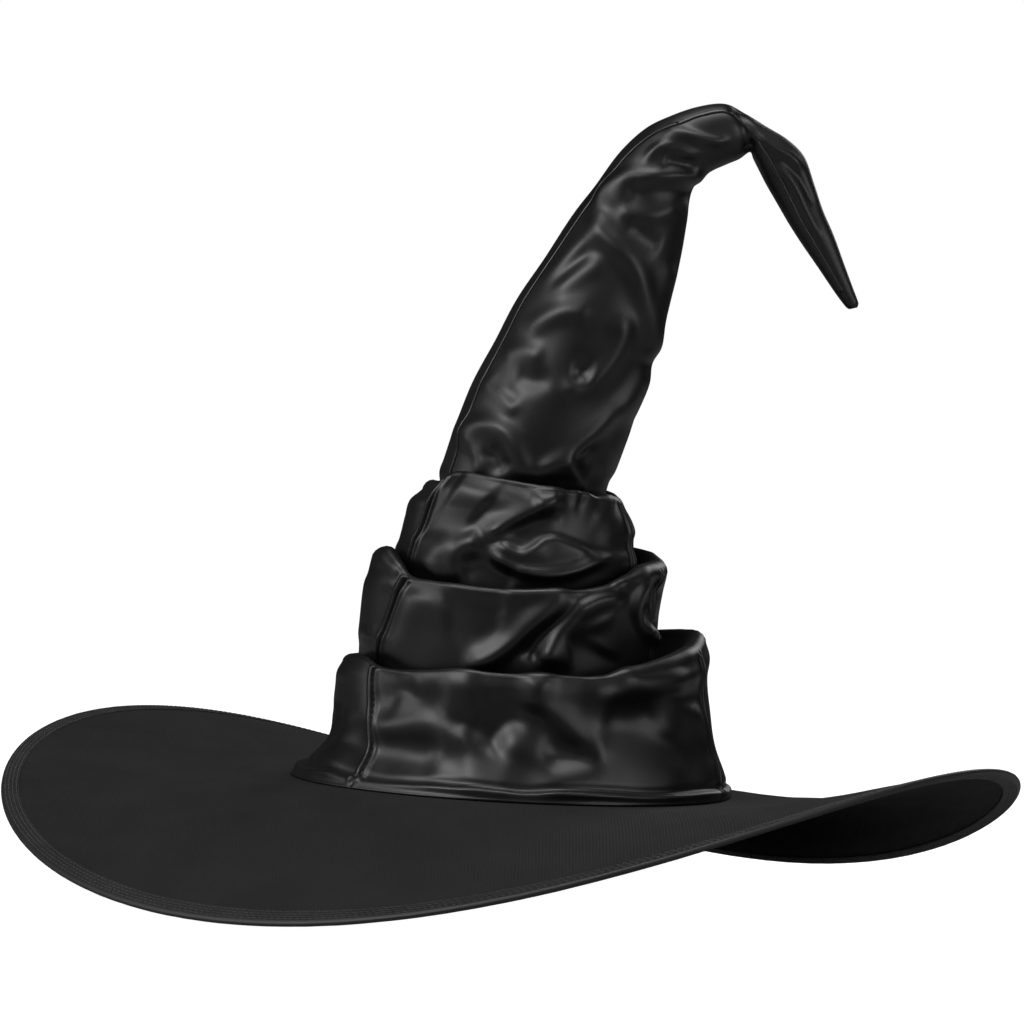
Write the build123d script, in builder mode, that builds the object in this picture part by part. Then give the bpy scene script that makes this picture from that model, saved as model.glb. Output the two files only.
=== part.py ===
"""Witch hat: a wired wavy brim, a crown of three tucked tiers, and a leaning cone with a folded tip.

Millimetres. The origin is the middle of the head opening, +Z is up, -Y is the front of the hat
and the cone leans towards +X.
"""
import os
from math import atan2, cos, dist, hypot, radians, sin

from build123d import *

os.makedirs("parts", exist_ok=True)

# Brim: a stiff disc, flat round the head and waved at its rim
BRIM_R = 250.0
FLAT_R = 104.5
WAVE_POWER = 1.55
DROOP, SADDLE, TILT, RIPPLE = -11.8, 36.3, 4.8, 2.6
SADDLE_TURN, TILT_TURN, RIPPLE_TURN = radians(66.4), radians(5.4), radians(44.8)
HEAD_RX, HEAD_RY = 99.5, 93.5
TURN_STEPS, OUT_STEPS = 12, 12

# Layers of the brim, as heights above and below its top face
COVER_T = 0.5
INTERLINING_T = 2.2
LAYER_GAP = 0.3
BINDING_W, BINDING_T, PLY_GAP = 8.5, 0.6, 0.1
WIRE_R, WIRE_RING_R = 0.7, 247.0
FERRULE_OUT, FERRULE_IN, FERRULE_TURN = 1.05, 0.8, radians(100)
WIRE_START, WIRE_END = radians(100.1), radians(459.9)
WIRE_STEPS = 36

# Crown cloth, lining included
CLOTH_T = 1.5
TIP_CLOTH_T = 1.1
SLIDE_GAP = 0.7
SEAM_TURNS = (-138, -18, 102)

# Oval rings of the crown: outer edge (x, z), inner edge (x, z) and half depth front to back.
# The outer edge is the left side of the crown, which becomes the top of the bend and of the tip.
LOWER_RINGS = [
    ((-109, 0.9), (109, 0.9), 102),
    ((-100, 9), (106, 9), 96),
    ((-92, 20), (100, 20), 90),
    ((-89, 41), (95, 41), 86),
    ((-88.5, 52), (95, 60), 85),
    ((-86, 59), (91, 70), 82),
]
MID_RINGS = [
    ((-78.5, 40), (68.5, 40), 69),
    ((-78.5, 94), (68.5, 94), 69),
    ((-76, 108), (72, 112), 68),
]
TOP_RINGS = [
    ((-63.3, 84), (55.7, 84), 56),
    ((-63.3, 116), (55.7, 116), 56),
    ((-60.5, 123), (54.3, 123), 54),
    ((-57, 142), (50, 142), 50.5),
    ((-52, 149), (47, 147), 47),
]
CONE_RINGS = [
    ((-39, 138), (37, 138), 36),
    ((-41.5, 149), (39.5, 149), 38),
    ((-42.5, 157), (42.5, 156), 39.5),
    ((-39, 171), (47, 168), 40),
    ((-29.5, 200), (53, 194), 38.5),
    ((-10, 240), (63, 228), 34),
    ((13, 280), (70.5, 264), 27),
    ((36, 313), (74, 299), 21),
    ((60, 333.5), (81, 308), 16),
    ((84, 341), (92, 313), 11.5),
    ((90, 340), (95.5, 315), 10),
]
TIP_RINGS = [
    ((100.5, 333), (98, 323.5), 5),
    ((111, 329.5), (103, 316), 7),
    ((123, 320.5), (107, 308), 8),
    ((131, 308), (113.5, 297), 8),
    ((138.5, 290), (125, 279.5), 7),
    ((146.5, 272), (136.5, 264), 5.5),
    ((153.5, 256), (146.5, 250.5), 4.2),
    ((158, 246), (152.5, 244), 3),
]
# Straight holes through the crests that the next tier comes out of: centre x, half width, half depth
LOWER_HOLE = (-5, 73.5 + SLIDE_GAP, 69 + SLIDE_GAP)
MID_HOLE = (-3.8, 59.5 + SLIDE_GAP, 56 + SLIDE_GAP)
TOP_HOLE = (-1, 44.5, 41.5)
LEG_BOTTOM = {"lower": 46, "mid": 94, "top": 134}
TACK_Z = {"lower": 51, "mid": 101, "top": 139.5}
TACK_W, TACK_GAP = 1.2, 0.05

# Wire and its casing along the crown's outer edge
CROWN_WIRE_R = 0.8
CASING_OUT, CASING_IN = 1.9, 1.0
CONE_WIRE_INSET, TIP_WIRE_INSET = 6.5, 5.0
END_CAP_R, END_CAP_L = 1.3, 4

FAR = 420.0


def brim_height(x, y):
    """Height of the brim's top face above the head opening."""
    turn = atan2(y, x)
    rim = (
        DROOP
        + SADDLE * cos(2 * turn + SADDLE_TURN)
        + TILT * cos(turn + TILT_TURN)
        + RIPPLE * cos(3 * turn + RIPPLE_TURN)
    )
    return rim * (max(0.0, hypot(x, y) - FLAT_R) / (BRIM_R - FLAT_R)) ** WAVE_POWER


def quadrant(height, inner, outer, first):
    """A quarter of the brim's top face moved up by height, from an oval (rx, ry) out to a circle."""
    rows = []
    for i in range(TURN_STEPS + 1):
        turn = radians(first + 90 * i / TURN_STEPS)
        edge = inner[0] * inner[1] / hypot(inner[1] * cos(turn), inner[0] * sin(turn))
        row = []
        for j in range(OUT_STEPS + 1):
            r = edge + (outer - edge) * j / OUT_STEPS
            x, y = r * cos(turn), r * sin(turn)
            row.append((x, y, brim_height(x, y) + height))
        rows.append(row)
    return Face.make_surface_from_array_of_points(rows, tol=0.02)


def brim_layer(bottom, top, outer, inner):
    """A layer of the brim from bottom to top, between an oval opening and a circle."""
    with BuildPart() as layer:
        for first in (0, 90, 180, 270):
            extrude(quadrant(bottom, inner, outer, first), amount=top - bottom, dir=(0, 0, 1))
    return layer


def save(piece, node):
    """Label a finished piece and write its STEP file."""
    piece.label = node
    export_step(piece, f"parts/{node}.step")


def ring_plane(outer, inner):
    """Plane of a crown ring, with its local X from the outer edge to the inner edge."""
    width = dist(outer, inner)
    run, rise = (inner[0] - outer[0]) / width, (inner[1] - outer[1]) / width
    middle = ((outer[0] + inner[0]) / 2, 0, (outer[1] + inner[1]) / 2)
    return Plane(origin=middle, x_dir=(run, 0, rise), z_dir=(-rise, 0, run))


def ring_loft(rings, inset=0.0, start=0.0, end=0.0, ruled=True):
    """Solid through the rings, drawn in by inset, its two ends moved along their own normals."""
    pushes = [start] + [0.0] * (len(rings) - 2) + [end]
    with BuildPart() as body:
        for (outer, inner, depth), push in zip(rings, pushes):
            with BuildSketch(ring_plane(outer, inner).offset(push)):
                Ellipse(dist(outer, inner) / 2 - inset, depth - inset)
        loft(ruled=ruled)
    return body.part


def tier_shell(rings, hole, leg_bottom):
    """A tucked tier: the outer wall, the crest, and the leg that folds back down inside it."""
    hole_x, hole_rx, hole_ry = hole
    with BuildPart() as leg:
        add(ring_loft(rings))
        with BuildSketch(Plane.XY.offset(leg_bottom)):
            with Locations((hole_x, 0)):
                Ellipse(hole_rx + CLOTH_T, hole_ry + CLOTH_T)
        extrude(amount=FAR, mode=Mode.INTERSECT)
    with BuildPart() as tier:
        add(ring_loft(rings))
        add(ring_loft(rings, CLOTH_T, start=-1, end=-CLOTH_T), mode=Mode.SUBTRACT)
        add(leg.part)
        with BuildSketch(Plane.XY.offset(-10)):
            with Locations((hole_x, 0)):
                Ellipse(hole_rx, hole_ry)
        extrude(amount=FAR, mode=Mode.SUBTRACT)
    return tier.part


def gore(shell, start, end):
    """The part of a shell between two upright seams, given as turns about the crown's axis."""
    middle = (start + end) / 2
    corners = [(FAR * cos(radians(turn)), FAR * sin(radians(turn))) for turn in (start, middle, end)]
    with BuildPart() as piece:
        add(shell)
        with BuildSketch(Plane.XY.offset(-10)):
            with BuildLine():
                Polyline((0, 0), *corners, close=True)
            make_face()
        extrude(amount=FAR, mode=Mode.INTERSECT)
    return piece.part


def tack_bars(rings, hole, height):
    """Thread tacks that hold a tuck closed, across the pocket between the wall and the leg."""
    hole_x, hole_rx, hole_ry = hole
    with BuildPart() as bars:
        with Locations((hole_x, 0, height)):
            with PolarLocations(radius=(hole_rx + hole_ry) / 2, count=6, start_angle=22):
                Box(90, TACK_W, TACK_W)
        add(ring_loft(rings, CLOTH_T + TACK_GAP, start=-1, end=-CLOTH_T), mode=Mode.INTERSECT)
        with BuildSketch(Plane.XY.offset(-10)):
            with Locations((hole_x, 0)):
                Ellipse(hole_rx + CLOTH_T + TACK_GAP, hole_ry + CLOTH_T + TACK_GAP)
        extrude(amount=FAR, mode=Mode.SUBTRACT)
    return bars.part


def half_space(front):
    """A block that holds everything in front of the crown's middle plane, or behind it."""
    with BuildPart() as block:
        with BuildSketch(Plane.XZ):
            with Locations((0, 200)):
                Rectangle(2 * FAR, 2 * FAR)
        extrude(amount=FAR if front else -FAR)
    return block.part


def crown_tube(points, outer, inner=0.0):
    """A wire, or a tube where inner is given, along a smooth line of (x, z) points."""
    with BuildPart() as tube:
        with BuildLine() as route:
            Spline(*[(x, 0, z) for x, z in points])
        with BuildSketch(Plane(origin=route.line @ 0, z_dir=route.line % 0)):
            Circle(outer)
            if inner:
                Circle(inner, mode=Mode.SUBTRACT)
        sweep(path=route.line)
    return tube.part


def wire_points(rings, inset):
    """Points inside the outer edge of the rings, where the crown's wire runs."""
    points = []
    for outer, inner, _ in rings:
        share = inset / dist(outer, inner)
        points.append((outer[0] + share * (inner[0] - outer[0]), outer[1] + share * (inner[1] - outer[1])))
    return points


# Brim, from the top down: top cover, stiff interlining, under cover
top_bottom = -COVER_T
core_top = top_bottom - LAYER_GAP
core_bottom = core_top - INTERLINING_T
under_top = core_bottom - LAYER_GAP
under_bottom = under_top - COVER_T
head_hole = (HEAD_RX, HEAD_RY)

brim_top_cover = brim_layer(top_bottom, 0, BRIM_R - 1.4, head_hole)
save(brim_top_cover.part, "brim_top_cover")

brim_interlining = brim_layer(core_bottom, core_top, WIRE_RING_R - 1.6, head_hole)
save(brim_interlining.part, "brim_interlining")

brim_under_cover = brim_layer(under_bottom, under_top, BRIM_R - 1.4, head_hole)
save(brim_under_cover.part, "brim_under_cover")

# Binding: a folded tape that wraps the rim: an upper leaf, the fold at the rim and a lower leaf
tape_in, fold_in = (BRIM_R - BINDING_W,) * 2, (BRIM_R - 0.8,) * 2
tape_top, tape_bottom = LAYER_GAP + BINDING_T, under_bottom - LAYER_GAP - BINDING_T
with BuildPart() as brim_edge_binding:
    add(brim_layer(tape_top - BINDING_T, tape_top, BRIM_R, tape_in).part)
    add(brim_layer(tape_bottom + BINDING_T + PLY_GAP, tape_top - BINDING_T - PLY_GAP, BRIM_R, fold_in).part)
    add(brim_layer(tape_bottom, tape_bottom + BINDING_T, BRIM_R, tape_in).part)
save(brim_edge_binding.part, "brim_edge_binding")

# Brim wire: one hoop of spring wire, its two ends meeting in a crimped ferrule
wire_depth = (core_top + core_bottom) / 2


def hoop_point(turn):
    x, y = WIRE_RING_R * cos(turn), WIRE_RING_R * sin(turn)
    return (x, y, brim_height(x, y) + wire_depth)


with BuildPart() as brim_edge_wire:
    with BuildLine() as hoop:
        step = (WIRE_END - WIRE_START) / WIRE_STEPS
        Spline(*[hoop_point(WIRE_START + step * i) for i in range(WIRE_STEPS + 1)])
    with BuildSketch(Plane(origin=hoop.line @ 0, z_dir=hoop.line % 0)):
        Circle(WIRE_R)
    sweep(path=hoop.line)
save(brim_edge_wire.part, "brim_edge_wire")

with BuildPart() as brim_wire_ferrule:
    with BuildLine() as crimp:
        ThreePointArc(*[hoop_point(FERRULE_TURN + radians(step)) for step in (-1.6, 0, 1.6)])
    with BuildSketch(Plane(origin=crimp.line @ 0, z_dir=crimp.line % 0)):
        Circle(FERRULE_OUT)
        Circle(FERRULE_IN, mode=Mode.SUBTRACT)
    sweep(path=crimp.line)
save(brim_wire_ferrule.part, "brim_wire_ferrule")

# Sweatband: a tape sewn round the inside of the head opening
BAND_T = 1.2
BAND_RINGS = [((-98.2, -2), (98.2, -2), 92.2), ((-85.5, 26), (93.5, 26), 84.5)]
with BuildPart() as sweatband:
    add(ring_loft(BAND_RINGS))
    add(ring_loft(BAND_RINGS, BAND_T, start=-1, end=1), mode=Mode.SUBTRACT)
save(sweatband.part, "sweatband")

# Tiers: each sewn from three gores and tucked at its top
tiers = {
    "lower": (LOWER_RINGS, LOWER_HOLE),
    "mid": (MID_RINGS, MID_HOLE),
    "top": (TOP_RINGS, TOP_HOLE),
}
seams = list(zip(SEAM_TURNS, (*SEAM_TURNS[1:], SEAM_TURNS[0] + 360)))
for tier, (rings, hole) in tiers.items():
    shell = tier_shell(rings, hole, LEG_BOTTOM[tier])
    for side, (start, end) in zip(("front", "right", "back"), seams):
        save(gore(shell, start, end), f"{tier}_tier_{side}_gore")
    save(tack_bars(rings, hole, TACK_Z[tier]), f"{tier}_tuck_tacks")

# Cone: a bent shell of three gores, front, back outer and back inner
with BuildPart() as cone_shell:
    add(ring_loft(CONE_RINGS, ruled=False))
    add(ring_loft(CONE_RINGS, CLOTH_T, start=-1, end=1, ruled=False), mode=Mode.SUBTRACT)
middles = [((outer[0] + inner[0]) / 2, (outer[1] + inner[1]) / 2) for outer, inner, _ in CONE_RINGS]
spine = [(middles[0][0], 100), *middles, (120, 332)]

with BuildPart() as cone_front_gore:
    add(cone_shell.part)
    add(half_space(front=True), mode=Mode.INTERSECT)
save(cone_front_gore.part, "cone_front_gore")

for node, far_side in (
    ("cone_back_outer_gore", [(120, FAR), (-FAR, FAR), (-FAR, 100)]),
    ("cone_back_inner_gore", [(FAR, 332), (FAR, 100)]),
):
    with BuildPart() as back_gore:
        add(cone_shell.part)
        with BuildSketch(Plane.XZ):
            with BuildLine():
                Polyline(*spine, *far_side, close=True)
            make_face()
        extrude(amount=-FAR, mode=Mode.INTERSECT)
    save(back_gore.part, node)

# Tip: a flattened tapered shell of a front and a back gore
with BuildPart() as tip_shell:
    add(ring_loft(TIP_RINGS, ruled=False))
    add(ring_loft(TIP_RINGS[:-1], TIP_CLOTH_T, start=2, end=-1, ruled=False), mode=Mode.SUBTRACT)
for node, front in (("tip_front_gore", True), ("tip_back_gore", False)):
    with BuildPart() as tip_gore:
        add(tip_shell.part)
        add(half_space(front), mode=Mode.INTERSECT)
    save(tip_gore.part, node)

# Wire and casing in the crown's outer seam, and in the tip
cone_route = wire_points(CONE_RINGS[1:-1], CONE_WIRE_INSET)
tip_route = wire_points(TIP_RINGS[1:-2], TIP_WIRE_INSET)
for part, route in (("cone", cone_route), ("tip", tip_route)):
    save(crown_tube(route, CROWN_WIRE_R), f"{part}_wire")
    save(crown_tube(route, CASING_OUT, CASING_IN), f"{part}_wire_casing")

# Soft cap over the wire's cut end at the point of the hat
last, before = tip_route[-1], tip_route[-2]
reach = dist(last, before)
heading = ((last[0] - before[0]) / reach, 0, (last[1] - before[1]) / reach)
with BuildPart() as tip_wire_end_cap:
    with BuildSketch(Plane(origin=(last[0], 0, last[1]), z_dir=heading).offset(0.3)):
        Circle(END_CAP_R)
    extrude(amount=END_CAP_L)
    fillet(tip_wire_end_cap.faces().sort_by(Axis.Z)[0].edges(), radius=1.2)
save(tip_wire_end_cap.part, "tip_wire_end_cap")
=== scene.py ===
"""Looks of the witch hat: satin crown with sculpted tucks and folds, wired brim with a stitched binding."""

import math

import bpy
import numpy as np
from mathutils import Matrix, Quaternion, Vector


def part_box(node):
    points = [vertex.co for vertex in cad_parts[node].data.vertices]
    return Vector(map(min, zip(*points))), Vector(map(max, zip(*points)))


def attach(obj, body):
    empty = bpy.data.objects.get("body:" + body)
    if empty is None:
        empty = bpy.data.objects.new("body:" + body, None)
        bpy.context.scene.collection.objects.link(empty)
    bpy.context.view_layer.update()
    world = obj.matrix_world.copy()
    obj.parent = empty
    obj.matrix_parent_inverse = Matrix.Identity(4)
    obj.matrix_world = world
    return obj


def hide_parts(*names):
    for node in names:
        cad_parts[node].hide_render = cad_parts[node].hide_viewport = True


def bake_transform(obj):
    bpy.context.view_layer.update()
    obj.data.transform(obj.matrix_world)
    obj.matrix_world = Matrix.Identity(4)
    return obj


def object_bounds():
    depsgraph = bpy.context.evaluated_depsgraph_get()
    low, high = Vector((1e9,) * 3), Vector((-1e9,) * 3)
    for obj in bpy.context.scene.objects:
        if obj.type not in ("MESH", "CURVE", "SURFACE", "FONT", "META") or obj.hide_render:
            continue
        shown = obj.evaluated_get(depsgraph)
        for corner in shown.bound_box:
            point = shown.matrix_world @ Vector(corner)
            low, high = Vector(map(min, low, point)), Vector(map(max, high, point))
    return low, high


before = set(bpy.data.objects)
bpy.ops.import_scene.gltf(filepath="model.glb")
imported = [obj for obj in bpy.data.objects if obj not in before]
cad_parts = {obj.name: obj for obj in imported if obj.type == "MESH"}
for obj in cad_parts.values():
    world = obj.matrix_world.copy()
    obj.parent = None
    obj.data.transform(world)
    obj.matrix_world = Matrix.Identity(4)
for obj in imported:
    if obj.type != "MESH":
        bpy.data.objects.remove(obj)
cad_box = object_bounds()

MM = 0.001
DENSE = 1.0

# The brim's wave, as in the frame's design (millimetres and radians)
BRIM_R = 1000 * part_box("brim_edge_binding")[1][0]
FLAT_R = 104.5
WAVE_POWER = 1.55
DROOP, SADDLE, TILT, RIPPLE = -11.8, 36.3, 4.8, 2.6
SADDLE_TURN, TILT_TURN, RIPPLE_TURN = math.radians(66.4), math.radians(5.4), math.radians(44.8)
HEAD_RX, HEAD_RY = 99.5, 93.5

# The hat as seen from the front: viewing distance, downward pitch, height of the view's middle and its roll
SEEN_FROM, SEEN_PITCH, SEEN_HEIGHT = 2273.0, math.radians(1.5), 135.0
SEEN_ROLL = math.radians(3.14)

CLOTH_T = 0.9
FOLD_DEPTH = 1.1  # how much deeper the folds are than their lists say
BROAD_FOLD, BROADER = 2.9, 1.4  # a fold side at least this wide is spread by this factor
FOLD_FADE = 0.16  # share of a fold's length over which each end fades out


# ---------------------------------------------------------------- small tools
def smooth(t):
    """0 to 1 with soft ends."""
    t = np.clip(t, 0.0, 1.0)
    return t * t * (3 - 2 * t)


def flow(x, xs, ys):
    """A smooth curve through (xs, ys) read at x; ys may hold several columns."""
    xs, ys = np.asarray(xs, float), np.asarray(ys, float)
    slopes = np.gradient(ys, xs, axis=0)
    i = np.clip(np.searchsorted(xs, x) - 1, 0, len(xs) - 2)
    step = xs[i + 1] - xs[i]
    t = (x - xs[i]) / step
    if ys.ndim > 1:
        t, step = t[..., None], step[..., None]
    t2, t3 = t * t, t * t * t
    return (
        (2 * t3 - 3 * t2 + 1) * ys[i]
        + (t3 - 2 * t2 + t) * step * slopes[i]
        + (3 * t2 - 2 * t3) * ys[i + 1]
        + (t3 - t2) * step * slopes[i + 1]
    )


RNG = np.random.default_rng(11)
LATTICE = RNG.standard_normal((24, 24, 24, 3))
LATTICE /= np.linalg.norm(LATTICE, axis=-1, keepdims=True)


def noise(p, size, shift=0.0):
    """Smooth gradient noise, about -0.7 to 0.7, with features of that size."""
    q = p / size + shift
    cell = np.floor(q).astype(int)
    f = q - cell
    u = f * f * f * (f * (f * 6 - 15) + 10)
    total = np.zeros(p.shape[:-1])
    for corner in np.ndindex(2, 2, 2):
        d = np.array(corner)
        g = LATTICE[tuple(np.moveaxis((cell + d) % 24, -1, 0))]
        w = np.prod(np.where(d == 1, u, 1 - u), axis=-1)
        total += w * (g * (f - d)).sum(-1)
    return total


def crumple(p, size, shift):
    """Creased noise: sharp ridges with soft slopes between them, mean near zero."""
    return 0.42 - np.sqrt(noise(p, size, shift) ** 2 + 0.0025) * 2.0


def as_seen(p):
    """Where points show on the front elevation: (across, up), at full size."""
    y, up = p[..., 1], p[..., 2] - SEEN_HEIGHT
    depth = SEEN_FROM + y * math.cos(SEEN_PITCH) - up * math.sin(SEEN_PITCH)
    rise = y * math.sin(SEEN_PITCH) + up * math.cos(SEEN_PITCH)
    return np.stack([p[..., 0] * SEEN_FROM / depth, SEEN_HEIGHT + rise * SEEN_FROM / depth], -1)


def line_through(points, spacing=1.5):
    """A smooth line through the points, about one point every spacing."""
    pts = np.asarray(points, float)
    runs = np.linalg.norm(np.diff(pts, axis=0), axis=1)
    at = np.concatenate([[0], np.cumsum(runs)])
    count = max(8, int(at[-1] / spacing))
    return flow(np.linspace(0, at[-1], count), at, pts)


def folds(p, normal, lines):
    """Height of the drawn folds at points on the front of the crown."""
    seen = as_seen(p)
    facing = smooth((-normal[..., 1] + 0.12) / 0.35)
    total = np.zeros(p.shape[:-1])
    for height, above, below, points in lines:
        line = line_through(points)
        above, below = (w if w < BROAD_FOLD else w * BROADER for w in (above, below))
        reach = 2.6 * max(above, below)
        low, high = line.min(0) - reach, line.max(0) + reach
        near = ((seen > low) & (seen < high)).all(-1) & (facing > 0)
        if not near.any():
            continue
        q = seen[near]
        k = ((q[:, None] - line[None]) ** 2).sum(-1).argmin(1)
        away = q - line[k]
        along = np.gradient(line, axis=0)[k]
        side = along[:, 0] * away[:, 1] - along[:, 1] * away[:, 0]
        width = np.where(side > 0, above, below)
        ends = k / (len(line) - 1)
        fade = smooth(ends / FOLD_FADE) * smooth((1 - ends) / FOLD_FADE)
        total[near] += FOLD_DEPTH * height * fade * np.exp(-(away**2).sum(-1) / width**2) * facing[near]
    return total


def with_skirt(p, grow, drop):
    """The grid with a flared skirt below its first row, which closes the tuck seen from above."""
    s = 1 - np.linspace(0, 1, 9)[None, :-1, None]
    first = p[:, :1]
    out = first - first.mean(0)
    out /= np.linalg.norm(out, axis=-1, keepdims=True)
    return np.concatenate([first + out * grow * s**3 - np.array([0, 0, drop]) * s, p], 1)


def normals_of(p):
    """Outward normals of a grid that goes round its first axis and up its second."""
    round_it = np.roll(p, -1, 0) - np.roll(p, 1, 0)
    up = np.gradient(p, axis=1)
    n = np.cross(round_it, up)
    return n / np.maximum(np.linalg.norm(n, axis=-1, keepdims=True), 1e-9)


def grid_mesh(name, p, closed=True, cap_end=False):
    """A smooth mesh on a grid of points in millimetres, with cloth coordinates in its UV map."""
    nu, nv = p.shape[:2]
    verts = p.reshape(-1, 3) * MM
    if cap_end:
        verts = np.concatenate([verts, p[:, -1].mean(0)[None] * MM])
    i = np.arange(nu if closed else nu - 1)[:, None]
    j = np.arange(nv - 1)[None]
    a, b = i * nv + j, ((i + 1) % nu) * nv + j
    quads = np.stack([a, b, b + 1, a + 1], -1).reshape(-1, 4)
    faces = quads.tolist()
    if cap_end:
        faces += [[k * nv + nv - 1, ((k + 1) % nu) * nv + nv - 1, nu * nv] for k in range(nu)]
    mesh = bpy.data.meshes.new(name)
    mesh.from_pydata(verts.tolist(), [], faces)
    mesh.shade_smooth()
    across = np.linalg.norm(np.roll(p, -1, 0) - p, axis=-1).mean(1)
    up = np.linalg.norm(np.diff(p, axis=1), axis=-1).mean(0)
    u_at = np.concatenate([[0], np.cumsum(across)]) * MM
    v_at = np.concatenate([[0], np.cumsum(up)]) * MM
    uv = mesh.uv_layers.new(name="cloth")
    iu = np.broadcast_to(i, (len(i), nv - 1)).reshape(-1)
    iv = np.broadcast_to(j, (len(i), nv - 1)).reshape(-1)
    corners_u = np.stack([u_at[iu], u_at[iu + 1], u_at[iu + 1], u_at[iu]], -1)
    corners_v = np.stack([v_at[iv], v_at[iv], v_at[iv + 1], v_at[iv + 1]], -1)
    flat = np.zeros((len(mesh.loops), 2))
    flat[: corners_u.size] = np.stack([corners_u, corners_v], -1).reshape(-1, 2)
    uv.data.foreach_set("uv", flat.ravel())
    mesh.update()
    obj = bpy.data.objects.new(name, mesh)
    bpy.context.scene.collection.objects.link(obj)
    return obj


def thicken(obj, thickness, offset=-1.0):
    """Gives a sheet its thickness, on its inner side."""
    mod = obj.modifiers.new("thickness", "SOLIDIFY")
    mod.thickness = thickness * MM
    mod.offset = offset
    mod.use_even_offset = False


def dress(obj, material, nodes=()):
    """Gives a piece its material and hides the frame's nodes that it stands for."""
    obj.data.materials.clear()
    obj.data.materials.append(material)
    if nodes:
        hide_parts(*nodes)
    return obj


# ---------------------------------------------------------------- materials
def shader(name, colour, roughness, **sockets):
    """A Principled material and its node tree; sockets are set directly."""
    material = bpy.data.materials.new(name)
    material.use_nodes = True
    tree = material.node_tree
    bsdf = tree.nodes["Principled BSDF"]
    bsdf.inputs["Base Color"].default_value = (*colour, 1)
    bsdf.inputs["Roughness"].default_value = roughness
    for key, value in sockets.items():
        bsdf.inputs[key.replace("_", " ")].default_value = value
    return material, tree, bsdf


def node(tree, kind, **inputs):
    """A shader node with its inputs set."""
    made = tree.nodes.new(kind)
    for key, value in inputs.items():
        made.inputs[key.replace("_", " ")].default_value = value
    return made


def tone(tree, bsdf, vector, dark, light, scale, rough):
    """Uneven colour and gloss, as cloth has where it is handled and creased."""
    patch = node(tree, "ShaderNodeTexNoise", Scale=scale, Detail=5.0, Roughness=0.6)
    tree.links.new(vector, patch.inputs["Vector"])
    ramp = tree.nodes.new("ShaderNodeValToRGB")
    ramp.color_ramp.elements[0].position, ramp.color_ramp.elements[1].position = 0.3, 0.72
    ramp.color_ramp.elements[0].color = (*dark, 1)
    ramp.color_ramp.elements[1].color = (*light, 1)
    tree.links.new(patch.outputs["Fac"], ramp.inputs["Fac"])
    tree.links.new(ramp.outputs["Color"], bsdf.inputs["Base Color"])
    spread = tree.nodes.new("ShaderNodeMapRange")
    spread.inputs["To Min"].default_value, spread.inputs["To Max"].default_value = rough
    tree.links.new(patch.outputs["Fac"], spread.inputs["Value"])
    tree.links.new(spread.outputs["Result"], bsdf.inputs["Roughness"])


def threads(tree, vector, pitch, turn):
    """Fine parallel threads across the cloth, as heights."""
    spin = tree.nodes.new("ShaderNodeMapping")
    spin.inputs["Rotation"].default_value[2] = turn
    wave = node(tree, "ShaderNodeTexWave", Scale=math.pi / (10 * pitch * MM), Distortion=0.6, Detail=1.0)
    tree.links.new(vector, spin.inputs["Vector"])
    tree.links.new(spin.outputs["Vector"], wave.inputs["Vector"])
    return wave.outputs["Fac"]


def weave(tree, bsdf, vector, pitch, turns, grain, depth):
    """Bump from crossing threads and a fine grain."""
    first, second = (threads(tree, vector, pitch, turn) for turn in turns)
    both = tree.nodes.new("ShaderNodeMath")
    both.operation = "ADD"
    tree.links.new(first, both.inputs[0])
    tree.links.new(second, both.inputs[1])
    fine = node(tree, "ShaderNodeTexNoise", Scale=grain, Detail=3.0, Roughness=0.7)
    tree.links.new(vector, fine.inputs["Vector"])
    mixed = tree.nodes.new("ShaderNodeMath")
    mixed.operation = "ADD"
    tree.links.new(both.outputs[0], mixed.inputs[0])
    tree.links.new(fine.outputs["Fac"], mixed.inputs[1])
    bump = node(tree, "ShaderNodeBump", Strength=1.0, Distance=depth * MM)
    tree.links.new(mixed.outputs[0], bump.inputs["Height"])
    tree.links.new(bump.outputs["Normal"], bsdf.inputs["Normal"])


def object_vector(tree):
    """Place on the object, in metres."""
    return tree.nodes.new("ShaderNodeTexCoord").outputs["Object"]


def cloth_vector(tree):
    """Place along the cloth, in metres."""
    return node(tree, "ShaderNodeUVMap").outputs["UV"]


def satin(name, dark, light, rough, sheen, grain=1500.0):
    """Smooth cloth with a fine upright weave."""
    material, tree, bsdf = shader(
        name, dark, rough[0], Sheen_Weight=sheen, Sheen_Roughness=0.35, Specular_IOR_Level=0.5
    )
    bsdf.inputs["Anisotropic"].default_value = 0.35
    tone(tree, bsdf, object_vector(tree), dark, light, 38.0, rough)
    weave(tree, bsdf, cloth_vector(tree), 0.6, (0.0, math.pi / 2), grain, 0.010)
    return material


def twill(name, dark, light, rough, sheen, depth):
    """Matt cloth with a slanting weave."""
    material, tree, bsdf = shader(
        name, dark, rough[0], Sheen_Weight=sheen, Sheen_Roughness=0.5, Specular_IOR_Level=0.24
    )
    where = object_vector(tree)
    tone(tree, bsdf, where, dark, light, 26.0, rough)
    weave(tree, bsdf, where, 1.5, (0.0, math.radians(63)), 900.0, depth)
    return material


def plain(name, colour, dark, light, scale, rough, **sockets):
    """A material without a weave."""
    material, tree, bsdf = shader(name, colour, rough[0], **sockets)
    tone(tree, bsdf, object_vector(tree), dark, light, scale, rough)
    return material


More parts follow.
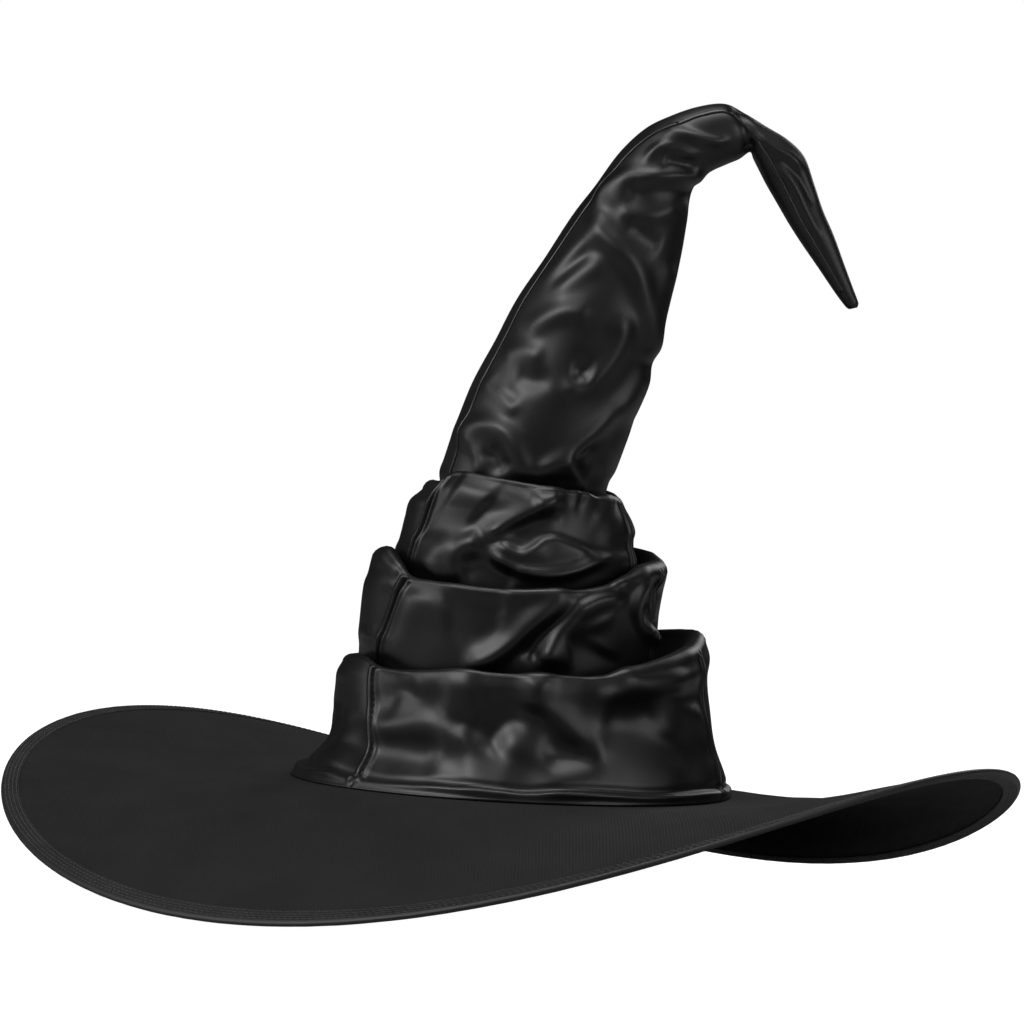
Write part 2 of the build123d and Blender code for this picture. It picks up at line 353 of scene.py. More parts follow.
CROWN_SATIN = satin("crown_satin", (0.0012, 0.0012, 0.0013), (0.003, 0.0029, 0.003), (0.36, 0.47), 0.004)
# The cone's satin is a lighter, bluer copy of the crown's satin: painted sheen on the cone and the tip.
CONE_SATIN_PAINTED_SHEEN = satin("cone_satin_painted_sheen", (0.0016, 0.0017, 0.0022), (0.0036, 0.0037, 0.0046), (0.37, 0.48), 0.006)
BRIM_TWILL = twill("brim_twill", (0.0078, 0.0070, 0.0069), (0.0118, 0.0106, 0.0105), (0.6, 0.74), 0.012, 0.10)
# The underside's twill is a darker, duller copy of the top's twill: painted shade under the brim.
UNDER_TWILL_PAINTED_SHADE = twill("under_twill_painted_shade", (0.002, 0.002, 0.002), (0.0035, 0.0035, 0.0035), (0.7, 0.85), 0.008, 0.09)
BINDING_SATIN = satin(
    "binding_satin", (0.0045, 0.0043, 0.0043), (0.009, 0.0085, 0.0085), (0.46, 0.58), 0.03, 1100.0
)
CASING_SATIN = satin("casing_satin", (0.003, 0.003, 0.0035), (0.006, 0.006, 0.007), (0.30, 0.40), 0.02)
THREAD = plain(
    "sewing_thread", (0.018, 0.0175, 0.0175), (0.012, 0.012, 0.012), (0.026, 0.025, 0.025), 900.0,
    (0.45, 0.65), Sheen_Weight=0.2,
)
FELT = twill("interlining_felt", (0.03, 0.03, 0.03), (0.05, 0.05, 0.05), (0.85, 0.95), 0.2, 0.2)
BAND_TAPE = twill("sweatband_tape", (0.008, 0.008, 0.009), (0.014, 0.014, 0.015), (0.55, 0.7), 0.1, 0.12)
STEEL = plain(
    "spring_steel", (0.5, 0.5, 0.52), (0.4, 0.4, 0.42), (0.6, 0.6, 0.62), 300.0, (0.22, 0.4), Metallic=1.0
)
CAP_SOFT = plain("wire_cap", (0.02, 0.02, 0.02), (0.015, 0.015, 0.015), (0.03, 0.03, 0.03), 200.0, (0.5, 0.7))

# ---------------------------------------------------------------- brim
COVER_STEPS = int(720 * DENSE)
STITCH_RADII = (BRIM_R - 7.4, BRIM_R - 5.5, BRIM_R - 3.7, BRIM_R - 1.9)
BINDING_IN = BRIM_R - 8.6
CORE_DROP = 1.9  # the wire and the middle of the brim lie this far below its top face
RIM_PINCH = 0.75  # how far each cover closes in on the wire at the rim
COVER_RIPPLE = 0.9  # height of the brim's unevenness
TAPE_HALF, TAPE_CLEAR = 1.55, 0.12  # half thickness of the folded binding and its play over the covers
STITCH_PULL, STITCH_REACH = 0.22, 0.55  # how deep a stitch row draws the binding in, and how wide
STITCH_PITCH, STITCH_LIFT = 3.1, 1.52


def brim_height(x, y):
    """Height of the brim's top face above the head opening."""
    turn = np.arctan2(y, x)
    rim = (
        DROOP
        + SADDLE * np.cos(2 * turn + SADDLE_TURN)
        + TILT * np.cos(turn + TILT_TURN)
        + RIPPLE * np.cos(3 * turn + RIPPLE_TURN)
    )
    out = np.maximum(0.0, np.hypot(x, y) - FLAT_R) / (BRIM_R - FLAT_R)
    return rim * out**WAVE_POWER


def brim_ring(radii, drops, ripple=0.0):
    """Points of a brim layer: its radii, cut off at the oval head opening, and depths below the top face."""
    turns = np.linspace(0, 2 * np.pi, COVER_STEPS, endpoint=False)[:, None]
    hole = HEAD_RX * HEAD_RY / np.hypot(HEAD_RY * np.cos(turns), HEAD_RX * np.sin(turns))
    r = np.maximum(np.asarray(radii)[None], hole)
    x, y = r * np.cos(turns), r * np.sin(turns)
    z = brim_height(x, y) - np.asarray(drops)[None]
    p = np.stack([x, y, z], -1)
    if ripple:
        calm = smooth((r - 104) / 30) * smooth((BRIM_R - 4 - r) / 25)
        p[..., 2] += ripple * calm * (noise(p, 55.0, 3.1) + 0.4 * noise(p, 24.0, 5.7))
    return p


def brim_cover(name, side):
    """One cover of the brim: side +1 is the top, -1 the underside; both close in on the wire at the rim."""
    radii = np.concatenate([[90.0], np.linspace(96, BRIM_R - 1.6, int(130 * DENSE))])
    close = smooth((radii - (BRIM_R - 30)) / 28)
    drops = CORE_DROP - side * (CORE_DROP - RIM_PINCH * close)
    p = brim_ring(radii, drops, COVER_RIPPLE)
    cover = grid_mesh(name, p[::-side])
    thicken(cover, 0.5)
    return cover


top_cover = dress(brim_cover("brim_top_cloth", 1), BRIM_TWILL, ["brim_top_cover"])
# The under cover wears the darker twill copy, which is painted shade.
under_cover = dress(brim_cover("brim_under_cloth", -1), UNDER_TWILL_PAINTED_SHADE, ["brim_under_cover"])
core_radii = np.append(90, np.linspace(96, BRIM_R - 10, 60))
core_drops = np.full(len(core_radii), 1.15)
core = grid_mesh("brim_stiff_core", brim_ring(core_radii, core_drops, COVER_RIPPLE)[::-1])
thicken(core, 1.5)
dress(core, FELT, ["brim_interlining"])


def leaf_rise(r):
    """How far a leaf of the binding lies from the brim's middle at a radius, drawn in at the stitch rows."""
    pull = sum(math.exp(-(((r - row) / STITCH_REACH) ** 2)) for row in STITCH_RADII)
    return TAPE_HALF + TAPE_CLEAR - STITCH_PULL * pull


def binding_profile():
    """Cross-section of the folded tape: radii and depths from its top edge round the rim to its lower one."""
    edge, step, fold_steps = 1.25, 0.45, 9
    radii = [BINDING_IN, BINDING_IN]
    drops = [CORE_DROP - edge, CORE_DROP - TAPE_HALF - TAPE_CLEAR]
    for r in np.arange(BINDING_IN + 0.5, BRIM_R - 1.5, step):
        radii.append(r)
        drops.append(CORE_DROP - leaf_rise(r))
    for k in range(fold_steps):
        turn = math.pi / 2 - math.pi * k / (fold_steps - 1)
        radii.append(BRIM_R - TAPE_HALF + TAPE_HALF * math.cos(turn))
        drops.append(CORE_DROP - TAPE_HALF * math.sin(turn))
    for r in np.arange(BRIM_R - 1.5, BINDING_IN + 0.4, -step):
        radii.append(r)
        drops.append(CORE_DROP + leaf_rise(r))
    radii += [BINDING_IN, BINDING_IN]
    drops += [CORE_DROP + TAPE_HALF + TAPE_CLEAR, CORE_DROP + edge]
    return radii, drops


radii, drops = binding_profile()
ring = brim_ring(radii, drops)
ring[..., 2] += 0.12 * noise(ring, 7.0, 1.3)
binding = dress(grid_mesh("brim_edge_tape", ring[::-1]), BINDING_SATIN, ["brim_edge_binding"])
thicken(binding, 0.35)


def bead(length, width):
    """A thread stitch: a small rounded capsule lying along X, as vertices and faces."""
    verts, faces = [], []
    rows, around = 5, 6
    for i in range(rows):
        t = -1 + 2 * i / (rows - 1)
        r = width / 2 * math.sqrt(max(0.06, 1 - t**4))
        for k in range(around):
            turn = 2 * math.pi * k / around
            verts.append((t * length / 2, r * math.cos(turn), r * math.sin(turn)))
    for i in range(rows - 1):
        for k in range(around):
            a, b = i * around + k, i * around + (k + 1) % around
            faces.append((a, a + around, b + around, b))
    faces.append(tuple(range(around)))
    faces.append(tuple(range(rows * around - 1, (rows - 1) * around - 1, -1)))
    return np.array(verts), faces


def stitches(name, places, directions, ups, length=2.3, width=0.5):
    """Many thread stitches in one piece, each at a place, along a direction, with up away from the cloth."""
    verts, faces = bead(length, width)
    directions = directions / np.linalg.norm(directions, axis=1, keepdims=True)
    across = np.cross(ups, directions)
    across /= np.linalg.norm(across, axis=1, keepdims=True)
    up = np.cross(directions, across)
    turned = (
        verts[None, :, :1] * directions[:, None]
        + verts[None, :, 1:2] * across[:, None]
        + verts[None, :, 2:] * up[:, None]
        + places[:, None]
    )
    count = len(verts)
    all_faces = [tuple(i + k * count for i in face) for k in range(len(places)) for face in faces]
    mesh = bpy.data.meshes.new(name)
    mesh.from_pydata((turned.reshape(-1, 3) * MM).tolist(), [], all_faces)
    mesh.shade_smooth()
    obj = bpy.data.objects.new(name, mesh)
    bpy.context.scene.collection.objects.link(obj)
    return dress(obj, THREAD)


def rim_places(radius, turns, drop):
    """Points on the brim at one radius, that deep below its top face."""
    x, y = radius * np.cos(turns), radius * np.sin(turns)
    return np.stack([x, y, brim_height(x, y) - drop], -1)


def rim_stitches(name, side):
    """The stitch rows on one face of the binding."""
    places, directions = [], []
    drop = CORE_DROP - side * STITCH_LIFT
    for row, radius in enumerate(STITCH_RADII):
        count = int(2 * math.pi * radius / STITCH_PITCH)
        turns = (np.arange(count) + 0.37 * row) * 2 * np.pi / count
        places.append(rim_places(radius, turns, drop))
        directions.append(rim_places(radius, turns + 0.004, drop) - rim_places(radius, turns - 0.004, drop))
    places, directions = np.concatenate(places), np.concatenate(directions)
    ups = np.tile([0.0, 0.0, float(side)], (len(places), 1))
    return stitches(name, places, directions, ups)


rim_threads = [rim_stitches("rim_stitches_top", 1), rim_stitches("rim_stitches_under", -1)]

# ---------------------------------------------------------------- crown tiers
# Each wall: share of its height, left and right edge, half depth.
# Each lip: turn in degrees (-90 is the front), height of its top, radius of its roll.
LOWER_WALL = [
    (0.0, -109, 109, 102), (0.14, -100.5, 105.5, 96), (0.32, -92, 100, 90), (0.55, -89.5, 96.5, 87),
    (0.79, -88.2, 94, 85.5), (0.92, -88, 94.5, 85), (1.0, -86.5, 92.5, 84),
]
LOWER_LIP = [
    (-180, 59.5, 3.0), (-168, 61.5, 3.0), (-157, 62.2, 2.8), (-150, 61.2, 2.4), (-144, 59.0, 2.0),
    (-135, 57.9, 2.0), (-122, 58.6, 2.0), (-108, 60.2, 2.0), (-92, 59.8, 2.0), (-77, 60.2, 2.0),
    (-64, 60.6, 2.2), (-56, 63.4, 2.8), (-47, 66.4, 3.4), (-35, 70.2, 4.2), (-17, 75.0, 5.0),
    (-4, 79.5, 5.2), (14, 81.0, 5.0), (34, 78.5, 4.2), (60, 73.5, 3.4), (95, 66, 2.6),
    (135, 61, 2.6), (180, 59.5, 3.0),
]
MID_WALL = [
    (0.0, -77, 67, 67), (0.3, -78.5, 68.5, 69), (0.6, -77.8, 68, 69), (0.85, -76.6, 70, 69.5),
    (1.0, -75, 71.5, 68),
]
MID_LIP = [
    (-180, 111.5, 4.2), (-168, 114.2, 4.4), (-156, 114.6, 4.0), (-147, 109.0, 3.0), (-138, 102.8, 2.0),
    (-125, 101.2, 2.0), (-108, 99.6, 2.0), (-92, 98.8, 2.0), (-76, 100.0, 2.0), (-64, 101.2, 2.2),
    (-53, 103.8, 3.0), (-42, 107.5, 4.0), (-30, 112.5, 5.0), (-14, 114.5, 5.6), (4, 115.5, 5.6),
    (22, 118.5, 4.6), (48, 119.5, 3.6), (80, 115, 2.6), (120, 109.5, 2.6), (150, 109.0, 3.4),
    (180, 111.5, 4.2),
]
TOP_WALL = [
    (0.0, -61, 54, 55), (0.35, -63.8, 56.3, 57.5), (0.5, -63, 56, 57), (0.6, -60.5, 54.3, 55),
    (0.75, -58.8, 53.5, 53), (0.92, -56.3, 50, 51), (1.0, -52, 47.5, 48),
]
TOP_LIP = [
    (-180, 145.5, 3.8), (-166, 148.6, 3.8), (-152, 148.4, 3.0), (-144, 149.0, 2.0), (-137, 152.4, 1.8),
    (-113, 152.5, 1.8), (-90, 150.2, 1.8), (-73, 148.2, 1.8), (-63, 147.2, 1.8), (-53, 147.6, 2.2),
    (-42, 145.2, 2.8), (-24, 146.0, 3.8), (-4, 144.5, 4.4), (20, 146.5, 3.6), (60, 149, 2.6),
    (110, 150, 2.4), (150, 148, 3.0), (180, 145.5, 3.8),
]
# Folds of each tier: height, width above, width below, points from left to right on the front elevation
LOWER_FOLDS = [
    (3, 4, 9, [
        (-74.8, 27.1), (-59.8, 26.0), (-46.0, 28.1), (-36.2, 25.9), (-29.3, 21.5), (-21.5, 23.1),
        (-15.4, 26.3),
    ]),
    (2.4, 8, 8, [(-36.9, 39.0), (-25.9, 39.6), (-16.3, 41.5)]),
    (-2.6, 6, 6, [(-16.3, 17.3), (-9.8, 24.5), (-3.3, 31.8), (4.9, 35.1)]),
    (2.6, 7, 5, [(-8.2, 20.5), (0.2, 20.2), (8.8, 14.5), (19.9, 13.4)]),
    (2.4, 7, 1.4, [(0.3, 42.4), (11.7, 37.5), (23.2, 29.1), (33.4, 20.7), (43.1, 11.4)]),
    (2.2, 4, 4, [(2.7, 50.5), (10.8, 54.0), (18.6, 50.8)]),
    (2, 5, 5, [(10.8, 53.4), (10.1, 46.4), (6.3, 39.3)]),
    (2.6, 9, 9, [(9.4, 2.7), (27.2, 6.9), (47.8, 11.8), (68.5, 11.9), (89.5, 9.2)]),
    (-2.6, 6, 5, [(11.3, 19.5), (19.8, 16.2), (33.6, 16.9), (41.8, 19.1)]),
    (2.2, 5, 9, [(31.8, 50.4), (45.7, 48.8), (66.4, 50.9), (85.5, 55.8)]),
    (2.4, 2.4, 3.4, [(86.7, 47.9), (89.2, 39.0), (92.5, 30.2), (95.6, 19.2), (102.4, 6.4)]),
    (2.2, 7, 7, [(80.8, 46.1), (76.9, 36.2), (73.6, 26.3)]),
    (-2, 7, 7, [(43.6, 37.2), (57.6, 35.2), (68.3, 41.3)]),
    (2.8, 2, 3.4, [(43.1, 57.9), (54.8, 59.8), (65.7, 62.8), (78.0, 67.6), (89.5, 73.0)]),
    (2.4, 1.8, 5, [(46.7, 55.9), (66.0, 57.4), (81.1, 60.0), (92.5, 61.2)]),
    (-2.2, 2.4, 2.4, [(56.3, 57.8), (71.4, 60.6), (86.4, 65.0)]),
    (2.2, 3.4, 3.4, [(-79.3, 33.2), (-83.2, 23.3), (-88.2, 13.3), (-96.0, 3.9)]),
    (-1.8, 3, 3, [(-83.6, 30.2), (-87.3, 21.7), (-92.3, 13.1)]),
    (1.8, 3, 3, [(-81.6, 13.7), (-86.3, 5.1), (-90.7, -1.4)]),
    (1.8, 6, 6, [(-83.3, 55.2), (-85.7, 43.9), (-86.2, 32.8)]),
    (1.6, 5, 5, [(-73.4, 47.4), (-74.0, 37.7), (-74.8, 26.5)]),
    (-2.2, 8, 8, [(-56.3, 38.6), (-64.8, 42.3), (-48.3, 44.6)]),
    (-2, 8, 8, [(-68.7, 11.6), (-52.2, 13.9), (-35.4, 10.7)]),
    (1.8, 9, 9, [(-26.8, 5.6), (-10.3, 7.9), (3.7, 5.9)]),
    (1.4, 6, 6, [(-61.2, 52.2), (-40.4, 52.3), (-18.2, 51.8)]),
]
MID_FOLDS = [
    (3.8, 5, 3.2, [
        (-29.6, 56.5), (-17.2, 59.5), (-5.2, 67.8), (1.4, 73.7), (9.3, 80.8), (18.7, 87.4), (26.0, 93.0),
        (28.7, 96.7),
    ]),
    (3.4, 2.6, 6.5, [
        (11.5, 55.5), (12.0, 62.5), (14.1, 69.5), (17.9, 76.0), (23.8, 82.5), (29.6, 89.1), (36.3, 93.3),
        (44.5, 95.5), (54.3, 95.2),
    ]),
    (-2.4, 3.5, 3.5, [(3.5, 59.9), (7.2, 69.1), (13.6, 78.2), (20.1, 85.5), (28.1, 92.5)]),
    (4, 3.4, 2.8, [
        (65.9, 106.0), (60.1, 101.9), (57.3, 96.1), (56.6, 90.6), (58.5, 84.4), (62.9, 78.4), (67.8, 75.7),
        (74.5, 74.4),
    ]),
    (2, 1.5, 1.5, [(65.3, 91.0), (63.1, 85.4), (63.3, 81.5), (66.6, 77.9)]),
    (-3, 4, 4, [(69.0, 105.1), (63.9, 96.5), (61.6, 88.1), (70.4, 78.8)]),
    (2.4, 2, 2, [(43.7, 100.9), (48.2, 105.4), (50.7, 109.7), (54.4, 112.9)]),
    (2.4, 2, 2, [(47.9, 100.9), (53.7, 104.7), (57.1, 109.2), (62.2, 111.7)]),
    (1.8, 5, 5, [(12.9, 60.4), (19.2, 64.7), (25.6, 66.7)]),
    (1.8, 6, 6, [(-52.8, 95.7), (-56.6, 81.6), (-61.4, 68.8), (-65.7, 57.5)]),
    (1.8, 3, 4, [(-70.0, 111.6), (-64.9, 106.1), (-59.0, 102.2)]),
    (1.8, 6, 6, [(-73.3, 101.5), (-74.9, 88.9), (-74.5, 76.4), (-74.6, 64.7)]),
    (-1.6, 4, 4, [(-63.6, 95.1), (-67.0, 82.4), (-70.2, 69.7)]),
    (2, 7, 7, [(38.1, 86.8), (42.8, 77.3), (39.2, 67.4)]),
    (-1.8, 9, 9, [(-39.3, 82.5), (-22.9, 86.2), (-6.2, 85.7)]),
    (1.6, 2, 4, [
        (-44.3, 98.1), (-31.8, 96.7), (-19.2, 95.3), (-3.9, 94.9), (9.9, 96.2), (20.9, 97.3), (27.2, 96.6),
    ]),
]
TOP_FOLDS = [
    (3.4, 1.2, 2.6, [
        (-18.0, 118.6), (-14.6, 112.7), (-7.4, 108.3), (3.8, 105.4), (14.9, 105.2), (25.8, 108.0),
        (36.6, 113.3), (44.7, 117.1),
    ]),
    (2.2, 1, 1, [
        (-15.7, 117.1), (-11.0, 112.1), (-0.5, 107.7), (12.0, 107.3), (23.0, 109.9), (33.8, 115.0),
        (41.9, 118.6),
    ]),
    (3, 4.5, 2.2, [
        (-17.7, 118.1), (-17.6, 121.8), (-13.9, 124.1), (-7.2, 128.7), (6.3, 135.6), (21.2, 142.4),
    ]),
    (2, 1.6, 4, [
        (-17.0, 117.7), (-10.7, 117.4), (-0.9, 114.4), (4.5, 117.5), (9.8, 122.0), (13.9, 122.9),
        (21.0, 121.2), (28.0, 118.8), (36.5, 116.1),
    ]),
    (2.4, 4.5, 5, [
        (-48.7, 101.7), (-45.6, 108.5), (-39.6, 113.6), (-32.7, 113.1), (-27.3, 117.0), (-19.8, 118.8),
    ]),
    (1.6, 9, 9, [(-36.5, 145.8), (-28.7, 141.3), (-20.0, 134.9)]),
    (-2.2, 5, 6, [(-32.1, 103.7), (-24.1, 108.3), (-12.8, 104.8), (-1.5, 101.2)]),
    (-1.8, 7, 7, [(-10.8, 118.8), (0.0, 123.5), (13.6, 128.4), (30.4, 126.6), (44.3, 124.6)]),
    (2.2, 5, 5, [(-44.4, 98.9), (-37.7, 103.4), (-30.7, 103.0)]),
    (1.6, 2, 2.5, [(43.2, 144.5), (49.0, 141.2), (51.6, 133.3), (52.7, 123.6)]),
    (2, 7, 5, [(3.4, 137.6), (17.0, 143.2), (28.1, 142.4)]),
    (-1.6, 5, 5, [(13.2, 136.7), (26.9, 139.5), (38.1, 136.7)]),
    (1.8, 3, 4, [(27.9, 145.8), (35.3, 143.2), (43.3, 144.2)]),
    (1.6, 5, 5, [(-52.2, 141.4), (-55.6, 127.4), (-59.2, 116.1)]),
]


NECK_DROP = 11  # how far below the roll the cloth has come in to the next tier
SKIRT_GROW = 8.0  # how far a skirt flares out at its lower edge


def tier_grid(wall, lip, start, hole, leg_end, steps):
    """Smooth tier surface: wall, rolled lip, and the fold back down inside to the next tier."""
    turns = np.radians(np.linspace(-180, 180, steps, endpoint=False))
    lip = np.asarray(lip, float)
    height, roll = flow(np.degrees(turns), lip[:, 0], lip[:, 1:]).T[..., None]
    wall = np.asarray(wall, float)
    shares = np.linspace(0, 1, int(84 * DENSE))
    left, right, deep = (flow(shares, wall[:, 0], wall[:, k]) for k in (1, 2, 3))
    along_x, along_y = np.cos(turns)[:, None], np.sin(turns)[:, None]
    middle, wide = (left + right)[None] / 2, (right - left)[None] / 2
    x, y = middle + wide * along_x, deep[None] * along_y
    z = start + (height - roll - start) * shares[None]
    rows = [np.stack([x, y, z], -1)]
    bend = np.linspace(0, np.pi, 9)[1:]
    inward = roll * (1 - np.cos(bend))[None]
    rows.append(
        np.stack(
            [
                middle[:, -1:] + (wide[:, -1:] - inward) * along_x,
                (deep[-1] - inward) * along_y,
                height - roll + roll * np.sin(bend)[None],
            ],
            -1,
        )
    )
    hole_x, hole_rx, hole_ry = hole
    last = rows[-1][:, -1:]
    neck = np.stack([hole_x + hole_rx * along_x, hole_ry * along_y, height - roll - NECK_DROP], -1)
    foot = np.stack([hole_x + hole_rx * along_x, hole_ry * along_y, np.full_like(height, leg_end)], -1)
    down = smooth(np.linspace(0, 1, 14))[1:][None, :, None]
    rows.append(last + (neck - last) * down)
    rows.append(neck + (foot - neck) * np.linspace(0, 1, 8)[1:][None, :, None])
    return np.concatenate(rows, 1), turns, shares


def calmed(height, times):
    """Heights evened out over neighbouring points, so that folds run into each other softly."""
    for _ in range(times):
        height = (np.roll(height, 1, 0) + np.roll(height, -1, 0) + 2 * height) / 4
        inner = (height[:, :-2] + height[:, 2:] + 2 * height[:, 1:-1]) / 4
        height = np.concatenate([height[:, :1], inner, height[:, -1:]], 1)
    return height


def round_from(turns, at):
    """How far round the turns lie from others, either way, in radians."""
    return np.abs((turns - at + np.pi) % (2 * np.pi) - np.pi)


def seam_dip(turns, shares, seams, radius, steps_up):
    """Grooves along the sewn seams, with the cloth puckered a little on each side."""
    dip = np.zeros((len(turns), steps_up))
    for low, high in seams:
        at = np.radians(low + (high - low) * shares)[None]
        away = radius * round_from(turns[:, None], at)
        groove = 2.2 * np.exp(-((away / 0.9) ** 2))
        pucker = 1.3 * np.exp(-(((away - 2.2) / 1.3) ** 2))
        dip[:, : len(shares)] += pucker - groove
    return dip


def hem_roll(p, turns, shares):
    """The turned-up hem at the foot of the lowest tier: a wavy bead with a groove above it."""
    above = p[..., 2] - 3.4 - 0.5 * np.sin(turns * 9)[:, None]
    bead_height = 2.0 * np.exp(-((above / 1.8) ** 2))
    groove = 0.9 * np.exp(-(((above - 3.6) / 1.6) ** 2))
    outside = np.arange(p.shape[1]) < len(shares) / 3
    return (bead_height - groove) * outside


def tier(
    name, body, wall, lip, start, hole, leg_end, lines, seams, nodes, steps, shift, calming, lowest=False
):
    """One tier of the crown as a single sewn cloth; the lowest has a hem, and the others a skirt."""
    p, turns, shares = tier_grid(wall, lip, start, hole, leg_end, int(steps * DENSE))
    n = normals_of(p)
    up = np.arange(p.shape[1])
    fixed = smooth(up / (6 * DENSE)) * smooth((len(shares) + 14 - up) / 14)
    squash = p * np.array([0.8, 0.8, 1.15])
    behind = smooth((n[..., 1] + 0.1) / 0.4)
    soft = noise(squash, 34.0, shift) * 2.2 + noise(squash, 15.0, shift + 2.7) * 0.5
    height = folds(p, n, lines) + soft * (0.1 + 0.9 * behind)
    height += (crumple(squash, 30.0, shift + 5.1) * 2.2 + crumple(squash, 15.0, shift + 8.3) * 0.8) * behind
    height = calmed(height, int(calming * DENSE**2))
    height += seam_dip(turns, shares, seams, np.hypot(*p[:, 20, :2].T).mean(), p.shape[1])
    if lowest:
        height += hem_roll(p, turns, shares)
    p = p + n * (height * fixed)[..., None]
    if not lowest:
        p = with_skirt(p, SKIRT_GROW, 14.0)
    cloth = grid_mesh(name, p)
    thicken(cloth, CLOTH_T)
    dress(cloth, CROWN_SATIN, nodes)
    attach(cloth, body)
    return cloth


def gores(name):
    """The frame's nodes that a tier's cloth stands for."""
    return [f"{name}_tier_{side}_gore" for side in ("front", "right", "back")]


lower_cloth = tier(
    "lower_tier_cloth", "hat_base", LOWER_WALL, LOWER_LIP, 0.6, (-5, 79.5, 75.5), 47, LOWER_FOLDS,
    [(-135, -144), (-17, -17), (103, 103)], gores("lower"), 760, 1.7, 24, lowest=True,
)
mid_cloth = tier(
    "mid_tier_cloth", "mid_tier", MID_WALL, MID_LIP, 44, (-3.5, 65.5, 62.5), 95, MID_FOLDS,
    [(-151, -138), (-17, -17), (103, 103)], gores("mid"), 680, 4.2, 8,
)
top_cloth = tier(
    "top_tier_cloth", "top_tier", TOP_WALL, TOP_LIP, 88, (-1, 45, 42), 136, TOP_FOLDS,
    [(-154, -138), (-17, -17), (103, 103)], gores("top"), 600, 7.9, 6,
)

# ---------------------------------------------------------------- cone and tip
# Rings of the spire: outer edge, inner edge, half depth, and how far its sides are pressed to an edge
SPIRE = [
    ((-39.5, 138), (38, 138), 37, 1.0),
    ((-43.5, 151), (40, 151), 39, 1.0),
    ((-41.5, 160), (43.5, 158), 40, 1.0),
    ((-37, 176), (47.5, 172), 40.5, 1.0),
    ((-30, 197), (52.5, 191), 39, 1.0),
    ((-19.5, 219), (57.5, 211), 36.5, 1.0),
    ((-10, 240), (62.5, 229), 34, 1.0),
    ((2, 260), (66, 246), 30, 1.0),
    ((13.5, 280), (69.5, 264), 26.5, 1.0),
    ((25, 297), (71.5, 281), 23.5, 1.0),
    ((36, 314), (73, 296), 20.5, 1.0),
    ((48, 326.5), (77, 303.5), 18, 1.0),
    ((60, 333.5), (83, 308), 15.5, 1.0),
    ((74, 339), (89.5, 311.5), 13, 1.02),
    ((87, 341), (95.5, 314.5), 11, 1.05),
    ((97, 337), (100.5, 318), 9.3, 1.1),
    ((108, 331), (102.5, 314.5), 8.6, 1.15),
    ((119, 325), (106, 308.5), 8.4, 1.2),
    ((127.5, 317), (110, 301.5), 8.0, 1.25),
    ((133, 304), (116.5, 291.5), 7.4, 1.25),
    ((138, 291.5), (122.5, 282.5), 6.8, 1.25),
    ((144, 279.5), (129.5, 273), 6.0, 1.2),
    ((149.8, 266), (138, 262), 5.0, 1.1),
    ((155, 254), (146, 251.5), 3.9, 1.05),
    ((158, 247), (152, 244.5), 3.0, 1.0),
    ((157.5, 244.6), (154, 243.6), 1.6, 1.0),
]
NECK_RING = 12  # the cone's cloth ends and the tip's begins at this ring
CASING_TURNS = [
    -150, -150, -151, -152, -153, -154, -154, -153, -151, -149, -144, -138, -132, -134, -132, -104,
    -78, -66, -62, -62, -62, -63, -65, -68, -70, -70,
]
